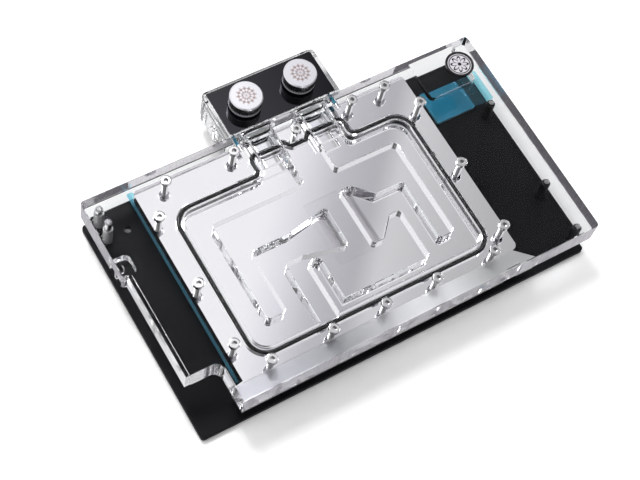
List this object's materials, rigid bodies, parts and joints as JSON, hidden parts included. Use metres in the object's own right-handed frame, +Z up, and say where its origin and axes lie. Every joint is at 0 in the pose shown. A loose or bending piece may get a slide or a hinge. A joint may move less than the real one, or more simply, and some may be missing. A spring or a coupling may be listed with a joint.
{
  "type": "gpu water block",
  "caption": "Full-cover liquid cooling block for a graphics card: clear milled plate on a mirror cold plate, clear terminal with stop plugs, black backplate, thermal pads with blue film.",
  "frame": {"origin": "middle of the backplate's underside, on the surface that the part stands on", "axes": "+X along the block to the right, +Y towards the terminal and its ports, +Z up through the clear plate"},
  "size_m": [0.2386, 0.1616, 0.0399],
  "materials": {
    "clear_acrylic": "clear, polished",
    "mirror_nickel": "mirror nickel plate",
    "black_rubber": "matte",
    "jet_steel": "rolled stainless sheet",
    "gloss_black_cover": "high gloss",
    "plug_nickel": "satin nickel plate",
    "screw_steel": "bright stainless",
    "post_steel": "bright",
    "black_post": "black finish",
    "anodised_black": "fine black anodised",
    "black_screw": "black finish",
    "pad_silicone": "soft, matte",
    "blue_film": "thin translucent film",
    "badge_face": "gloss",
    "badge_chrome": "polished"
  },
  "bodies": {
    "root": {"top_plate": "clear_acrylic", "terminal_block": "clear_acrylic", "cold_plate": "mirror_nickel", "main_seal": "black_rubber", "terminal_seal_left": "black_rubber", "terminal_seal_right": "black_rubber", "plug_seal_left": "black_rubber", "plug_seal_right": "black_rubber", "jet_plate": "jet_steel", "terminal_cover": "gloss_black_cover", "port_plug_left": "plug_nickel", "port_plug_right": "plug_nickel", "terminal_screws": "screw_steel", "cover_screws_left": "screw_steel", "cover_screws_right": "screw_steel", "cover_screws_front": "screw_steel", "cover_screws_back": "screw_steel", "left_posts": "post_steel", "right_posts": "black_post", "backplate": "anodised_black", "backplate_screws": "black_screw", "board_standoffs": "screw_steel", "edge_pad_left": "pad_silicone", "edge_pad_right": "pad_silicone", "memory_pads": "pad_silicone", "backplate_pad": "pad_silicone", "edge_liner_left": "blue_film", "edge_liner_right": "blue_film", "backplate_liner": "blue_film", "badge": "badge_face", "badge_rim": "badge_chrome"}
  },
  "joints": []
}
